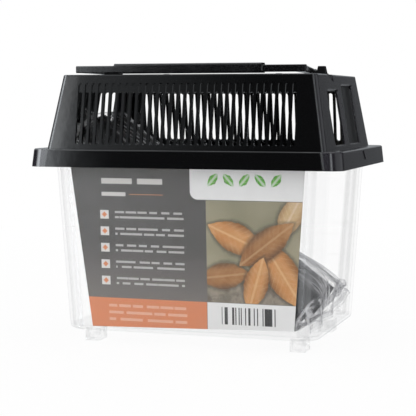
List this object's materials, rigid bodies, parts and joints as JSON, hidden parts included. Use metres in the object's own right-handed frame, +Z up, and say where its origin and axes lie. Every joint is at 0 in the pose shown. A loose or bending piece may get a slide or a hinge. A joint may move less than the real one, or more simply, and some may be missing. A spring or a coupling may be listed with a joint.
{
  "type": "cricket keeper box",
  "caption": "Clear tub with a vented black lid, folding handle, tube ports and a feeding hatch, packed with bagged dispensing tubes, for keeping feeder insects.",
  "frame": {"origin": "on the ground under the middle of the box, between the four feet", "axes": "+X along the box to the right, -Y to the front with the printed card, +Z up"},
  "size_m": [0.18, 0.1254, 0.1587],
  "materials": {
    "clear_plastic": "clear, polished",
    "black_gloss": "glossy black moulding",
    "black_handle": "satin black moulding",
    "clear_hatch": "clear, polished",
    "printed_card": "coated paper card, printed in plain fields",
    "black_tube": "fine-grained black moulding",
    "black_cap": "fine-grained black moulding",
    "bag_film": "clear crinkled film"
  },
  "bodies": {
    "tub": {"tub": "clear_plastic", "label_card": "printed_card", "tube_front": "black_tube", "tube_rear": "black_tube", "tube_cap_front": "black_cap", "tube_cap_rear": "black_cap", "tube_bag": "bag_film"},
    "lid": {"lid": "black_gloss"},
    "handle": {"handle": "black_handle"},
    "hatch": {"hatch": "clear_hatch"}
  },
  "joints": [
    {"name": "lid_lift", "type": "slide", "parent": "tub", "child": "lid", "axis": [0, 0, 1], "range_m": [0, 0.08]},
    {"name": "handle_swing", "type": "hinge", "parent": "lid", "child": "handle", "pos_m": [0, 0, 0.1546], "axis": [-1, 0, 0], "range_deg": [0, 175]},
    {"name": "hatch_open", "type": "hinge", "parent": "lid", "child": "hatch", "pos_m": [0, 0.0155, 0.1528], "axis": [-1, 0, 0], "range_deg": [0, 105]}
  ]
}
